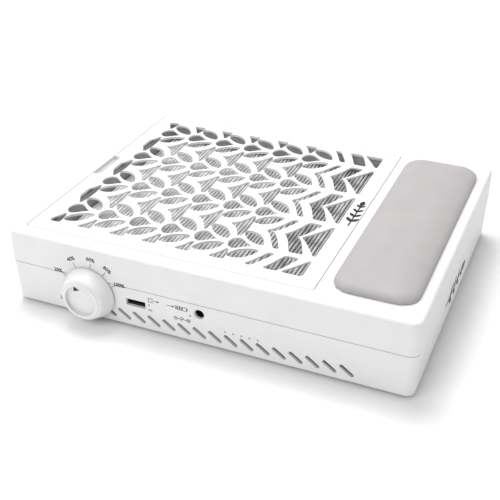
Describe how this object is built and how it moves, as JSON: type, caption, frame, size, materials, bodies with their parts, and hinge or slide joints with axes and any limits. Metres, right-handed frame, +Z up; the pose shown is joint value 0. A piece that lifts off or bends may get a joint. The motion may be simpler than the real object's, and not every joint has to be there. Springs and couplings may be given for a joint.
{
  "type": "nail dust collector",
  "caption": "Low table-top suction box with a leaf-pattern grille over a pleated filter, a front speed dial and ports, and a padded hand rest along the right side.",
  "frame": {"origin": "middle of the whole object, on the surface that the feet stand on", "axes": "+X along the longest side towards the hand rest, +Y from the dial towards the back, +Z up"},
  "size_m": [0.3, 0.2466, 0.0691],
  "materials": {
    "housing_white": "satin white ABS, fine even texture",
    "grille_white": "smooth white ABS",
    "pad_grey": "soft warm grey leatherette over foam",
    "frame_grey": "grey filter frame",
    "filter_paper": "folded non-woven filter paper",
    "foam_grey": "closed-cell foam",
    "fan_grey": "glass-filled nylon",
    "board_green": "solder mask",
    "socket_black": "moulded black",
    "light_clear": "clear acrylic",
    "rubber_grey": "matt rubber",
    "steel": "plated steel",
    "laminate": "stacked laminations with windings",
    "magnet_dark": "sintered ferrite",
    "cell_sleeve": "heat-shrink sleeve",
    "lead_black": "insulated lead"
  },
  "bodies": {
    "casing": {"top_shell": "housing_white", "bottom_shell": "housing_white", "base_plate": "housing_white", "fan_deck": "housing_white", "lower_bearing": "steel", "upper_bearing": "steel", "motor_stator": "laminate", "motor_base": "steel", "control_board": "board_green", "usb_socket": "socket_black", "charging_socket": "socket_black", "potentiometer": "steel", "dial_nut": "steel", "hand_rest_base": "housing_white", "hand_rest_pad": "pad_grey", "battery_tray": "fan_grey", "battery_board": "board_green", "motor_lead": "lead_black", "battery_lead": "lead_black", "level_light_1": "light_clear", "level_light_2": "light_clear", "level_light_3": "light_clear", "level_light_4": "light_clear", "level_light_5": "light_clear", "battery_cell_1": "cell_sleeve", "motor_screw_1": "steel", "battery_cell_2": "cell_sleeve", "motor_screw_2": "steel", "battery_cell_3": "cell_sleeve", "motor_screw_3": "steel", "foot_1": "rubber_grey", "case_screw_1": "steel", "deck_screw_1": "steel", "foot_2": "rubber_grey", "case_screw_2": "steel", "deck_screw_2": "steel", "foot_3": "rubber_grey", "case_screw_3": "steel", "deck_screw_3": "steel", "foot_4": "rubber_grey", "case_screw_4": "steel", "deck_screw_4": "steel", "board_screw_1": "steel", "board_screw_2": "steel"},
    "cover": {"grille_cover": "grille_white"},
    "filter": {"filter_frame": "frame_grey", "filter_media": "filter_paper", "filter_gasket": "foam_grey"},
    "fan_rotor": {"impeller": "fan_grey", "rotor_cup": "steel", "magnet_ring": "magnet_dark", "motor_shaft": "steel"},
    "dial": {"dial": "housing_white", "dial_shaft": "steel"}
  },
  "joints": [
    {"name": "cover_lift", "type": "slide", "parent": "casing", "child": "cover", "axis": [0, 0, 1], "range_m": [0, 0.14]},
    {"name": "filter_lift", "type": "slide", "parent": "casing", "child": "filter", "axis": [0, 0, 1], "range_m": [0, 0.07]},
    {"name": "fan_spin", "type": "hinge", "parent": "casing", "child": "fan_rotor", "pos_m": [-0.0325, 0.0093, 0.018], "axis": [0, 0, 1], "continuous": true},
    {"name": "dial_turn", "type": "hinge", "parent": "casing", "child": "dial", "pos_m": [-0.0845, -0.1137, 0.0235], "axis": [0, 1, 0], "range_deg": [-86, 93]}
  ],
  "couplings": [
    {"joint": "filter_lift", "follows": "cover_lift", "ratio": 0.5}
  ]
}
